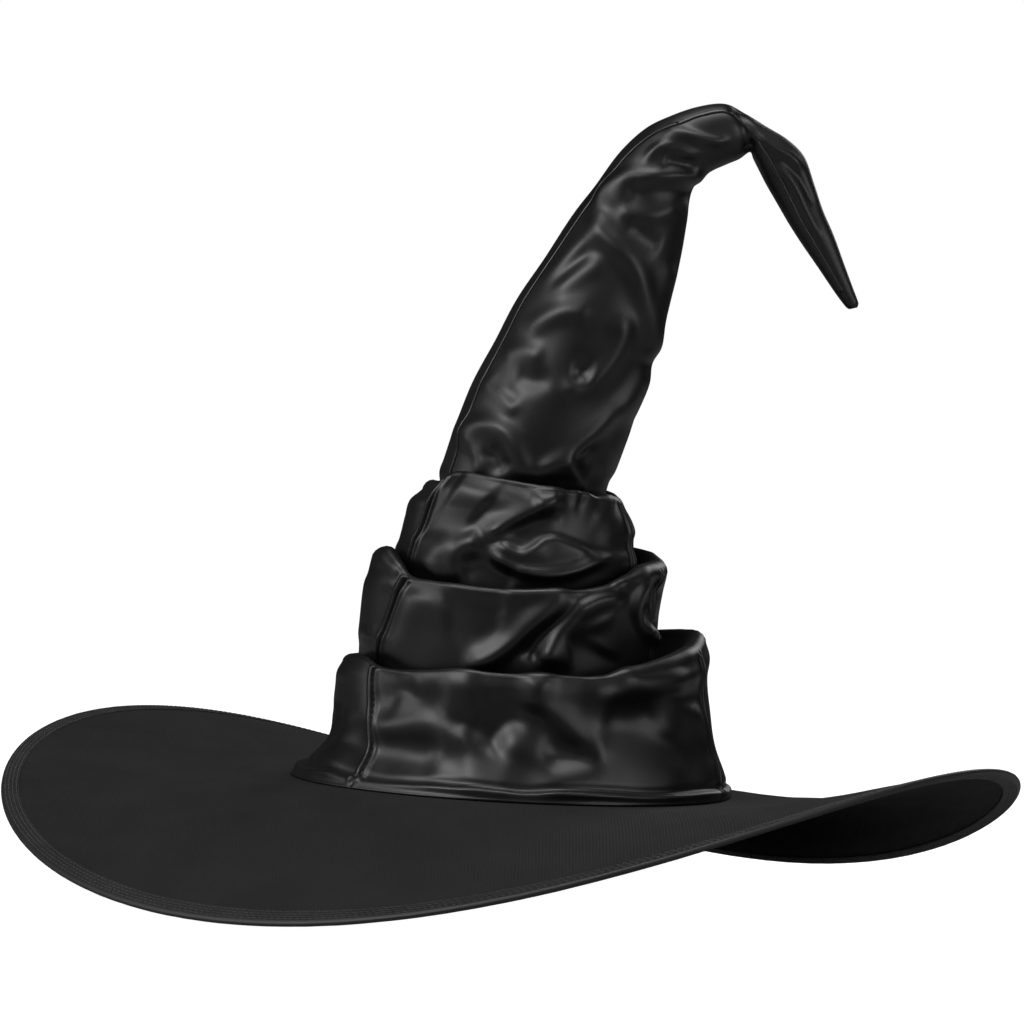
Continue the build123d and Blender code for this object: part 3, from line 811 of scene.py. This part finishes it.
# Folds of the cone and the tip, as the tiers' folds but for a hat with a brim radius of DRAWN_BRIM_R
DRAWN_BRIM_R = 220.0
SPIRE_FOLDS = [
    (3.2, 2.4, 5.5, [(23, 251), (28, 262), (33, 265.8), (45, 267), (60, 268.6), (73, 269)]),
    (-2.8, 3, 3.5, [(34, 261), (45, 261.5), (58, 262.5), (70, 262)]),
    (3, 3.4, 3, [
        (24, 256), (23.6, 249), (26, 242), (32, 236), (38, 231), (43, 224), (46, 216),
        (48.5, 206), (49.5, 194), (47, 184),
    ]),
    (1.32, 3, 3, [(3, 216), (12, 229), (20, 238), (26, 243)]),
    (-1.32, 2.4, 2.4, [(5, 217), (13, 226), (22, 235)]),
    (1.21, 2.6, 2.8, [(6, 213), (18, 223), (29, 230)]),
    (-2.8, 3.6, 3.6, [(17, 180), (21, 180.5), (25, 180)]),
    (2.6, 3.4, 3, [(10, 172), (20, 173.5), (29, 180), (35, 189), (38, 198), (35, 209)]),
    (1.8, 2.2, 2.2, [(-22, 176), (-16, 171), (-11, 165.5), (-6, 161)]),
    (-1.4, 2.2, 2.2, [(-18, 176), (-12, 171), (-6, 167)]),
    (3.2, 3, 3.2, [
        (-33, 146), (-29, 151), (-24, 154.5), (-17, 155), (-11, 152), (-6, 144.5), (-2, 136),
        (0, 130),
    ]),
    (1.8, 2, 2, [(-29, 144), (-26, 147.6), (-22.5, 143), (-20, 134)]),
    (-2.4, 3, 3, [(-17, 147), (-14, 141), (-11, 135)]),
    (3.6, 4.5, 2.6, [(50, 190), (44, 175), (35, 162), (25, 151.5), (16, 144), (8, 138.5), (0, 131)]),
    (-3, 3.5, 4, [(42, 165), (35, 155), (27, 147), (18, 139)]),
    (2.2, 2.6, 2.6, [(16, 144), (20, 137.5), (25, 130)]),
    (-2.8, 4.5, 4.5, [(25, 149), (29, 142), (33, 134)]),
    (1.9, 2, 2.4, [(50, 288), (60, 286.4), (70, 284.4), (80, 284)]),
    (1.7, 2, 2, [(43, 274), (50, 280.6), (60, 278), (67, 276)]),
    (-2.2, 2.6, 2.6, [(52, 276), (58, 274.5), (66, 273)]),
    (2.2, 2.4, 3, [(58, 232), (55, 216), (52, 202), (49, 186)]),
    (-1.6, 2.6, 2.6, [(40, 247), (46, 240), (52, 236)]),
    (1.8, 3, 3, [(-4, 196), (4, 203), (14, 207), (24, 206)]),
    (1.6, 3, 3, [(-14, 186), (-6, 188), (4, 186)]),
    (-1.6, 3, 3, [(-8, 178), (0, 176), (8, 178)]),
    (1.6, 2.4, 2.4, [(32, 252), (42, 250), (52, 251), (60, 255)]),
    (-2.2, 1.8, 1.8, [(80, 300), (85, 293.5), (87, 287), (89, 280)]),
    (1.6, 2.2, 2.2, [(90, 288), (98, 283), (106, 279), (112, 274)]),
    (1.3, 2, 2, [(98, 276), (107, 268), (114, 256), (121, 244)]),
    (-1, 1.6, 1.6, [(102, 279), (111, 270), (118, 258)]),
]


def at_full_size(lines):
    """Folds drawn for a smaller hat, with their widths and points scaled up to this one."""
    scale = BRIM_R / DRAWN_BRIM_R
    return [
        (height, above * scale, below * scale, np.array(points) * scale)
        for height, above, below, points in lines
    ]


def spire_grid(steps_round, spacing):
    """The smooth surface of the cone and the tip in one grid, with each row's place along the rings."""
    rings = np.array([[*outer, *inner, deep, press] for outer, inner, deep, press in SPIRE])
    index = np.arange(len(rings))
    middles = (rings[:, :2] + rings[:, 2:4]) / 2
    run = np.concatenate([[0], np.cumsum(np.linalg.norm(np.diff(middles, axis=0), axis=1))])
    neck = run[NECK_RING]
    lower = np.linspace(0, neck, int(neck / spacing))
    upper = np.linspace(neck, run[-1], int((run[-1] - neck) / spacing * 1.3))
    rows = np.concatenate([lower, upper[1:]])
    t = np.interp(rows, run, index)
    ring = flow(t, index, rings)
    turns = np.radians(np.linspace(-180, 180, steps_round, endpoint=False))[:, None]
    outer, inner, deep, press = ring[:, :2], ring[:, 2:4], ring[:, 4], ring[:, 5]
    middle, half = (outer + inner) / 2, (inner - outer) / 2
    c, s = np.cos(turns), np.sin(turns)
    s = np.sign(s) * np.abs(s) ** press[None]
    x = middle[None, :, 0] + half[None, :, 0] * c
    z = middle[None, :, 1] + half[None, :, 1] * c
    return np.stack([x, deep[None] * s, z], -1), turns[:, 0], t, len(lower)


spire, spire_turns, spire_t, cone_rows = spire_grid(int(330 * DENSE), 1.05 / DENSE)
spire_n = normals_of(spire)
squashed = spire * np.array([1.1, 1.0, 0.8])
girth = np.linalg.norm(spire - spire.mean(0, keepdims=True), axis=-1).mean(0)
calm = np.clip(girth / 38, 0.12, 1.0)[None]
behind = smooth((spire_n[..., 1] + 0.1) / 0.4)
height = folds(spire, spire_n, at_full_size(SPIRE_FOLDS))
height += (noise(squashed, 40.0, 0.9) * 2.4 + noise(squashed, 17.0, 3.3) * 0.5) * calm * (0.1 + 0.9 * behind)
height += (crumple(squashed, 32.0, 6.4) * 2.0 + crumple(squashed, 15.0, 2.3) * 0.7) * calm * behind
height = calmed(height, int(9 * DENSE**2))
casing_at = np.radians(flow(spire_t, np.arange(len(SPIRE)), CASING_TURNS))
for seam in (0.0, 100.0):
    away = girth[None] * round_from(spire_turns[:, None], math.radians(seam))
    height -= 0.9 * np.exp(-((away / 1.2) ** 2)) * np.clip(calm * 2, 0, 1)
row_at = np.arange(len(spire_t))
height *= (smooth(row_at / 8) * smooth((len(spire_t) - 1 - row_at) / (60 * DENSE)))[None]
spire = spire + spire_n * height[..., None]

LAP = int(10 * DENSE)  # rows where the cone's cloth and the tip's lie one in the other
sink = 0.12 * np.linspace(0, 1, 2 * LAP)[None, :, None]
cone_points, tip_points = spire[:, : cone_rows + LAP].copy(), spire[:, cone_rows - LAP :].copy()
cone_points[:, -2 * LAP :] -= sink * spire_n[:, cone_rows - LAP : cone_rows + LAP]
tip_points[:, : 2 * LAP] -= sink[:, ::-1] * spire_n[:, cone_rows - LAP : cone_rows + LAP]
cone_cloth = grid_mesh("cone_cloth", with_skirt(cone_points, SKIRT_GROW, 6.0))
thicken(cone_cloth, CLOTH_T)
# The cone's cloth wears the lighter, bluer satin copy, which is painted sheen.
dress(
    cone_cloth, CONE_SATIN_PAINTED_SHEEN, ["cone_front_gore", "cone_back_outer_gore", "cone_back_inner_gore"]
)
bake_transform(cone_cloth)
tip_cloth = grid_mesh("tip_cloth", tip_points, cap_end=True)
# The tip's cloth wears the same lighter, bluer satin copy, which is painted sheen.
dress(tip_cloth, CONE_SATIN_PAINTED_SHEEN, ["tip_front_gore", "tip_back_gore"])
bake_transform(tip_cloth)


def casing(name, rows, width, lift):
    """The wire's casing: a narrow raised band that follows the seam, as one strip of cloth."""
    n = normals_of(spire)
    spread = np.linspace(-1, 1, 9)
    strip = []
    steps_round = len(spire_turns)
    for row in rows:
        wide = width / max(casing_step[row], 1e-6)
        at = (casing_at[row] + np.pi) / (2 * np.pi) * steps_round + spread * wide
        i = np.floor(at).astype(int)
        f = (at - i)[:, None]
        place = spire[i % steps_round, row] * (1 - f) + spire[(i + 1) % steps_round, row] * f
        out = n[i % steps_round, row]
        strip.append(place + out * (lift * (1 - spread**4) - 0.15)[:, None])
    band = grid_mesh(name, np.array(strip).swapaxes(0, 1), closed=False)
    thicken(band, 0.5)
    return band


casing_step = np.linalg.norm(np.diff(spire, axis=0, append=spire[:1]), axis=-1).mean(0)
cone_band = casing("cone_seam_casing", range(2, cone_rows), 1.5, 0.95)
dress(cone_band, CASING_SATIN, ["cone_wire_casing"])
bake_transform(cone_band)
tip_band = casing("tip_seam_casing", range(cone_rows - 1, len(spire_t) - 12), 1.35, 0.85)
dress(tip_band, CASING_SATIN, ["tip_wire_casing"])
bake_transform(tip_band)

# ---------------------------------------------------------------- sweatband and carried-over parts
band_turns = np.linspace(0, 2 * np.pi, int(900 * DENSE), endpoint=False)[:, None]
band_up = np.linspace(0, 1, 12)[None]
band_rx, band_ry = 98.0 - 8.6 * band_up, 92.0 - 7.7 * band_up
rib = 0.22 * np.sin(band_turns * 300) * smooth(band_up / 0.1) * smooth((1 - band_up) / 0.1)
band = np.stack(
    [
        4.0 * band_up + (band_rx + rib) * np.cos(band_turns),
        (band_ry + rib) * np.sin(band_turns),
        -1.8 + 27.6 * band_up + 0 * band_turns,
    ],
    -1,
)
sweatband = grid_mesh("sweatband_tape", band)
thicken(sweatband, 1.0)
dress(sweatband, BAND_TAPE, ["sweatband"])

for piece in (top_cover, under_cover, core, binding, sweatband, *rim_threads):
    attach(piece, "hat_base")


def tack_threads(name, body, middle, rx, ry, z, count=6):
    """Thread tacks round the inner leg of one tuck, at height z."""
    turns = np.radians(np.arange(count) * 360 / count + 12)
    places = np.stack([middle + rx * np.cos(turns), ry * np.sin(turns), np.full(count, z)], -1)
    along = np.stack([-rx * np.sin(turns), ry * np.cos(turns), np.zeros(count)], -1)
    out = np.stack([np.cos(turns), np.sin(turns), np.zeros(count)], -1)
    tacks = stitches(f"{name}_tack_threads", places, along, out, 4.5, 0.9)
    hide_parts(f"{name}_tuck_tacks")
    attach(tacks, body)


tack_threads("lower", "hat_base", -5, 78.3, 74.3, 49)
tack_threads("mid", "mid_tier", -3.5, 64.3, 61.3, 97)
tack_threads("top", "top_tier", -1, 43.8, 40.8, 138)

CARRIED = {
    "brim_edge_wire": STEEL, "brim_wire_ferrule": STEEL, "cone_wire": STEEL, "tip_wire": STEEL,
    "tip_wire_end_cap": CAP_SOFT,
}
for name, material in CARRIED.items():
    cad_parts[name].data.materials.clear()
    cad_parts[name].data.materials.append(material)


# ---------------------------------------------------------------- floor, light, camera
def aim(obj, target):
    """Turns a lamp or the camera towards a point."""
    obj.rotation_mode = "QUATERNION"
    obj.rotation_quaternion = (Vector(target) - obj.location).to_track_quat("-Z", "Y")


def softbox(name, place, target, size, watts):
    """A soft rectangular lamp."""
    light = bpy.data.lights.new(name, "AREA")
    light.shape, light.size, light.size_y = "RECTANGLE", *size
    light.energy = watts
    obj = bpy.data.objects.new(name, light)
    bpy.context.scene.collection.objects.link(obj)
    obj.location = place
    aim(obj, target)


floor_z = cad_box[0][2] - 0.002
bpy.ops.mesh.primitive_plane_add(size=30, location=(0, 0, floor_z))
floor = bpy.context.object
floor.name = "floor"
floor_material, floor_tree, floor_bsdf = shader("pale_floor", (0.35, 0.35, 0.35), 0.9, Specular_IOR_Level=0.0)
floor_bsdf.inputs["Emission Color"].default_value = (1, 1, 1, 1)
floor.data.materials.append(floor_material)


def only_seen(tree, socket, seen, lit):
    """Sets a stage socket to one value where the camera looks straight at it and to another for its light."""
    path = tree.nodes.new("ShaderNodeLightPath")
    spread = node(tree, "ShaderNodeMapRange")
    spread.inputs["To Min"].default_value, spread.inputs["To Max"].default_value = lit, seen
    tree.links.new(path.outputs["Is Camera Ray"], spread.inputs["Value"])
    tree.links.new(spread.outputs["Result"], socket)


only_seen(floor_tree, floor_bsdf.inputs["Emission Strength"], 1.0, 0.0)

world = bpy.data.worlds.new("white_studio")
bpy.context.scene.world = world
world.use_nodes = True
background = world.node_tree.nodes["Background"]
background.inputs["Color"].default_value = (1, 1, 1, 1)
only_seen(world.node_tree, background.inputs["Strength"], 1.0, 0.012)

MIDDLE = (0.0, 0.0, 0.15)
softbox("key", (-1.3, -1.3, 1.6), MIDDLE, (0.8, 0.8), 27)
softbox("fill", (1.6, -1.2, 0.8), MIDDLE, (0.4, 1.2), 9)
softbox("top", (0.0, -0.3, 2.1), MIDDLE, (1.0, 0.6), 19)
softbox("rim", (1.0, 1.6, 1.0), MIDDLE, (0.8, 0.8), 6)
softbox("side", (-2.0, -0.4, 0.7), MIDDLE, (0.6, 1.0), 9)

camera = bpy.data.objects.new("camera", bpy.data.cameras.new("camera"))
bpy.context.scene.collection.objects.link(camera)
camera.data.lens, camera.data.sensor_width = 162.0, 36.0
camera.data.clip_end = 50
aim_at = np.array([-6.75, 0.0, 134.7]) * MM
away = SEEN_FROM * MM
camera.location = aim_at + np.array([0, -away * math.cos(SEEN_PITCH), away * math.sin(SEEN_PITCH)])
aim(camera, aim_at)
camera.rotation_quaternion = camera.rotation_quaternion @ Quaternion((0, 0, 1), SEEN_ROLL)
bpy.context.scene.camera = camera
bpy.context.scene.view_settings.view_transform = "Standard"
